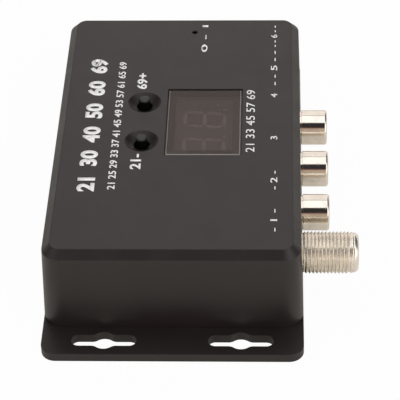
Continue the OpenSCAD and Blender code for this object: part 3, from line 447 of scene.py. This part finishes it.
def aerial_socket(material):
    """The aerial socket's shell with its real screw thread, in place of the plain one.

    It is turned about an axis along x; lengths are millimetres and angles start at the top.
    """
    low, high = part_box("aerial_shell")
    axis_y, axis_z = (low.y + high.y) / 2 / MM, 13.6
    back_x, tip_x = low.x / MM, high.x / MM
    block_x = tip_x - 14.7  # front of the square block on the board
    wall_x = tip_x - 12.28  # outside of the case's wall
    nose_x = tip_x - 1.85  # end of the thread
    pitch, crest, root, neck, bore = 0.81, 4.7, 4.33, 4.5, 3.0
    half, below = 4.8, 7.4  # block: from the axis to its sides and top, and to its underside
    foot_top = 6.3
    corners = [math.atan2(side * half, rise) for side in (1, -1) for rise in (half, -below)]
    angles = sorted({round(a % FULL_TURN, 6) for a in
                     [FULL_TURN * k / 120 for k in range(120)] + corners})
    mesh = bmesh.new()

    def point(x, radius, angle):
        return mesh.verts.new((x * MM, (axis_y + radius * math.sin(angle)) * MM,
                               (axis_z + radius * math.cos(angle)) * MM))

    def to_block(angle):
        """Distance from the axis to the block's outline."""
        s, c = math.sin(angle), math.cos(angle)
        far = 99
        across = half / abs(s) if abs(s) > 1e-6 else far
        upright = (half if c > 0 else below) / abs(c) if abs(c) > 1e-6 else far
        return min(across, upright)

    def skin(rows, closed):
        """Faces between rows of points."""
        for a, b in zip(rows, rows[1:]):
            n = len(a)
            for k in range(n if closed else n - 1):
                mesh.faces.new((a[k], a[(k + 1) % n], b[(k + 1) % n], b[k]))

    def lathe(outline):
        """A turned skin through (x, radius) points; None as radius is the block's outline."""
        skin([[point(x, radius or to_block(a), a) for a in angles] for x, radius in outline], True)

    first, last = wall_x - 0.2, nose_x
    mouth = 0.16  # depth of the rounded lip at the bore
    lathe([(tip_x - mouth, bore), (back_x, bore), (back_x, None), (block_x, None), (block_x, neck),
           (wall_x - 0.3, neck), (first, root)])
    from_nose = [(0, root), (0.05, 4.45), (0.16, 4.54), (0.5, 4.52), (0.56, 4.44), (0.66, 4.40),
                 (0.76, 4.44), (0.82, 4.46), (1.1, 4.38), (1.35, 4.25)]
    from_tip = [(0.28, 4.08), (0.12, 3.92), (0.03, 3.76), (0, 3.62), (0, 3.2), (0.05, 3.06),
                (mouth, bore)]
    lathe([(nose_x + x, r) for x, r in from_nose] + [(tip_x - x, r) for x, r in from_tip])

    steps = 12
    profile = [(k / steps,
                root + (crest - root) * (0.5 - 0.5 * math.cos(FULL_TURN * k / steps)) ** 0.9)
               for k in range(steps)]

    def run_out(x, radius):
        """The thread's radius, which fades to the root at the wall and behind the nose."""
        fade = min((x - first - 0.15) / 0.35, (last - 0.12 - x) / 0.3, 1)
        return root + (radius - root) * max(fade, 0)

    rows = []
    for k in range(-1, int((last - first) / pitch) + 2):
        for part, radius in profile:
            row = []
            for a in angles + [FULL_TURN]:
                x = min(max(first + (k + part + a / FULL_TURN) * pitch, first), last)
                row.append(point(x, run_out(x, radius), a))
            rows.append(row)
    skin(rows, False)

    bottom, top = low.z, foot_top * MM
    for side_x in (-1, 1):
        for side_y in (-1, 1):
            for v in bmesh.ops.create_cube(mesh, size=1)["verts"]:
                v.co = Vector(((back_x + 2.5 + side_x * 2 + v.co.x * 0.8) * MM,
                               (axis_y + side_y * 3.8 + v.co.y * 0.9) * MM,
                               (bottom + top) / 2 + v.co.z * (top - bottom)))
    bmesh.ops.remove_doubles(mesh, verts=mesh.verts, dist=0.002 * MM)
    bmesh.ops.dissolve_degenerate(mesh, dist=0.001 * MM, edges=mesh.edges)
    piece = new_piece("aerial_socket_threaded", mesh, material, smooth_below=40)
    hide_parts("aerial_shell")


def display_bars(material):
    """The two unlit figures of seven bars each and their points, in place of the plain ones."""
    low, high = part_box("display_segments")
    rows = (1.35, 6.0, 10.6)  # x of a figure's top, middle and foot
    columns = ((4.49, 9.8), (-5.76, -0.45))  # y of each figure's two sides
    half, gap, lean = 0.43, 0.12, math.tan(math.radians(3))
    point_r, point_x, point_y = 0.5, rows[2] + 0.1, 1.3
    mesh = bmesh.new()

    def slab(outline):
        base = [mesh.verts.new((x * MM, (y + lean * (rows[1] - x)) * MM, low.z))
                for x, y in outline]
        roof = [mesh.verts.new((v.co.x, v.co.y, high.z)) for v in base]
        n = len(base)
        mesh.faces.new(base[::-1])
        mesh.faces.new(roof)
        for k in range(n):
            mesh.faces.new((base[k], base[(k + 1) % n], roof[(k + 1) % n], roof[k]))

    def bar(x0, y0, x1, y1):
        """A bar with pointed ends between two corners of the figure."""
        if x0 == x1:
            a, b = y0 + gap, y1 - gap
            slab([(x0, a), (x0 + half, a + half), (x0 + half, b - half),
                  (x0, b), (x0 - half, b - half), (x0 - half, a + half)])
        else:
            a, b = x0 + gap, x1 - gap
            slab([(a, y0), (a + half, y0 - half), (b - half, y0 - half),
                  (b, y0), (b - half, y0 + half), (a + half, y0 + half)])

    for near, far in columns:
        for x in rows:
            bar(x, near, x, far)
        for y in (near, far):
            bar(rows[0], y, rows[1], y)
            bar(rows[1], y, rows[2], y)
        slab([(point_x + point_r * math.cos(k * math.pi / 8),
               far + point_y + point_r * math.sin(k * math.pi / 8)) for k in range(16)])
    piece = new_piece("display_bars", mesh, material)
    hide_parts("display_segments")


# ---------------------------------------------------------------- printed marks
def mark(material, name, text, heads_x, feet_x, y0, y1, weight):
    """Characters on the case's top, read towards +Y, with heads and feet at the given x."""
    top_z, lift, thick = 23.2, 0.001, 0.015
    curve = bpy.data.curves.new(name, "FONT")
    curve.body = text
    curve.offset = weight
    curve.resolution_u = 4
    carrier = bpy.data.objects.new(name, curve)
    scene.collection.objects.link(carrier)
    bpy.context.view_layer.update()
    flat = bpy.data.meshes.new_from_object(
        carrier.evaluated_get(bpy.context.evaluated_depsgraph_get()))
    bpy.data.objects.remove(carrier)
    mesh = bmesh.new()
    mesh.from_mesh(flat)
    bpy.data.meshes.remove(flat)

    xs, ys = [v.co.x for v in mesh.verts], [v.co.y for v in mesh.verts]
    left, foot = min(xs), min(ys)
    along = (y1 - y0) / (max(xs) - left)
    across = (feet_x - heads_x) / (max(ys) - foot)
    for v in mesh.verts:
        v.co = Vector(((feet_x - (v.co.y - foot) * across) * MM,
                       (y0 + (v.co.x - left) * along) * MM, (top_z + lift) * MM))
    bmesh.ops.remove_doubles(mesh, verts=mesh.verts, dist=0.004 * MM)
    for edge in [e for e in mesh.edges if len(e.link_faces) > 2]:
        mesh.faces.remove(min(edge.link_faces, key=lambda face: face.calc_area()))
    for face in mesh.faces:
        if face.normal.z > 0:
            face.normal_flip()
    for v in bmesh.ops.extrude_face_region(mesh, geom=mesh.faces[:])["geom"]:
        if isinstance(v, bmesh.types.BMVert):
            v.co.z += thick * MM
    new_piece(name, mesh, material)


def marks(material):
    """Plain numbers and signs where the photo has words; no word and no name is printed."""
    for values in (
            ("mark_range", "21  30  40  50  60  69", -22.15, -17.9, -23.72, 26.68, 0.045),
            ("mark_scale", "21 25 29 33 37 41 45 49 53 57 61 65 69", -15.2, -13.4, -23.0, 25.5,
             0.018),
            ("mark_display", "21 33 45 57 69", 15.81, 17.88, -9.5, 14.15, 0.004),
            ("mark_up", "69+", -10.5, -8.0, 14.6, 21.0, 0.03),
            ("mark_down", "21-", -10.5, -8.0, -15.8, -10.2, 0.03),
            ("mark_light", "0 - 1", 4.5, 6.0, 29.7, 41.1, 0.01)):
        mark(material, *values)
    ports = [("- 1 -", -33.5, 7.6), ("- 2 -", -19.6, 6.6), ("3", -4.2, 1.3), ("4", 12.0, 1.5),
             ("- - 5 - -", 23.1, 14.0), ("- - 6 - -", 36.3, 9.0)]
    for k, (text, middle, length) in enumerate(ports):
        mark(material, "mark_port_%d" % (k + 1), text, 21.56, 23.1, middle - length / 2,
             middle + length / 2, 0.012)


# ---------------------------------------------------------------- studio
def make_floor():
    """White paper that takes the object's shadow; in reflections it is dimmer and warmer."""
    to_camera, to_mirrors = 0.97, 0.395
    size, z = 5, -2e-5
    data = bpy.data.meshes.new("floor")
    data.from_pydata([(-size, -size, z), (size, -size, z), (size, size, z), (-size, size, z)], [],
                     [(0, 1, 2, 3)])
    floor = bpy.data.objects.new("floor", data)
    scene.collection.objects.link(floor)
    m = bpy.data.materials.new("floor_paper")
    m.use_nodes = True
    t = Tree(m.node_tree)
    t.t.nodes.clear()
    diffuse, glow = t.node("BsdfDiffuse"), t.node("Emission")
    diffuse.inputs["Color"].default_value = (0.66, 0.65, 0.64, 1)
    glow.inputs["Strength"].default_value = 1
    rays = t.node("LightPath").outputs
    seen = t.math("MAXIMUM", rays["Is Camera Ray"], rays["Is Transmission Ray"])
    seen = t.math("MAXIMUM", t.math("MULTIPLY", seen, to_camera),
                  t.math("MULTIPLY", rays["Is Glossy Ray"], to_mirrors))
    t.put(glow.inputs["Color"], t.mix(rays["Is Glossy Ray"], (1, 1, 1), (1, 0.94, 0.83)))
    mix = t.node("MixShader")
    t.put(mix.inputs[0], seen)
    t.put(mix.inputs[1], diffuse.outputs[0])
    t.put(mix.inputs[2], glow.outputs[0])
    t.put(t.node("OutputMaterial").inputs["Surface"], mix.outputs[0])
    data.materials.append(m)


def make_world():
    """The studio round the object, which lights it, and plain white for the camera."""
    world = bpy.data.worlds.new("studio")
    scene.world = world
    world.use_nodes = True
    t = Tree(world.node_tree)
    t.t.nodes.clear()
    axes = t.node("SeparateXYZ")
    t.put(axes.inputs[0], t.node("TexCoord").outputs["Generated"])
    x, y, z = axes.outputs

    # An arch in degrees from the back (+Y) over the zenith to the front: walls, softbox, dark gap.
    arch = [(0, (0.56, 0.56, 0.56)), (3, (0.73, 0.70, 0.685)), (30, (0.70, 0.67, 0.655)),
            (53, (0.73, 0.70, 0.685)), (55, (0.30, 0.29, 0.28)), (58, (0.30, 0.29, 0.28)),
            (60, (0.90, 0.90, 0.90)), (109, (0.90, 0.90, 0.90)), (113, (0.02, 0.02, 0.022)),
            (141, (0.022, 0.02, 0.02)), (146, (0.11, 0.05, 0.04)), (151, (0.34, 0.27, 0.22)),
            (168, (0.38, 0.31, 0.25)), (172, (0.76, 0.745, 0.72)), (179, (0.76, 0.745, 0.72))]
    arc = t.span(t.math("ARCTAN2", z, y), 0, math.pi, 0, 1)
    over = t.ramp(arc, [(angle / 180, colour) for angle, colour in arch])

    # To the sides: by height at the back, and brighter towards the right at the front.
    side = t.ramp(t.math("ARCSINE", z),
                  [(0, (0.75, 0.74, 0.73)), (0.12, (0.66, 0.65, 0.64)), (0.25, (0.05, 0.05, 0.05)),
                   (0.8, (0.05, 0.05, 0.05)), (1, (0.10, 0.10, 0.10))])
    front = t.mix(t.span(x, -0.3, 0.3, 0, 1, True), (0.50, 0.49, 0.48), (0.98, 0.96, 0.93))
    side = t.mix(t.span(y, 0.05, -0.25, 0, 1, True), side, front)
    sideways = t.span(t.math("ABSOLUTE", x), 0.22, 0.46, 0, 1, True)

    sky, white = t.node("Background"), t.node("Background")
    t.put(sky.inputs["Color"], t.mix(sideways, over, side))
    sky.inputs["Strength"].default_value = 1.45
    white.inputs["Color"].default_value = (1, 1, 1, 1)
    white.inputs["Strength"].default_value = 1
    mix = t.node("MixShader")
    t.put(mix.inputs[0], t.node("LightPath").outputs["Is Camera Ray"])
    t.put(mix.inputs[1], sky.outputs[0])
    t.put(mix.inputs[2], white.outputs[0])
    t.put(t.node("OutputWorld").inputs["Surface"], mix.outputs[0])


def make_lamp(name, at, wide, long, watts):
    """A softbox aimed at the object, which reflections don't show."""
    light = bpy.data.lights.new(name, "AREA")
    light.shape = "RECTANGLE"
    light.size, light.size_y, light.energy = wide, long, watts
    lamp = bpy.data.objects.new(name, light)
    lamp.location = at
    aim = Vector((0, 0, 0.01)) - Vector(at)
    lamp.rotation_euler = aim.to_track_quat("-Z", "Y").to_euler()
    lamp.visible_glossy = False
    scene.collection.objects.link(lamp)


make_camera()
make_floor()
make_world()
make_lamp("overhead_softbox", (-0.25, 0.15, 1.1), 1.2, 1.0, 2.5)
make_lamp("front_softbox", (0.5, -0.9, 0.7), 0.8, 0.6, 3.0)
dress_nodes()
aerial_socket(metal("nickel_thread", (0.91, 0.84, 0.745), 0.25, brush=TURNED, size=0.15))
display_bars(bpy.data.materials["segment_resin"])
marks(ink())
scene.view_settings.view_transform = "Standard"
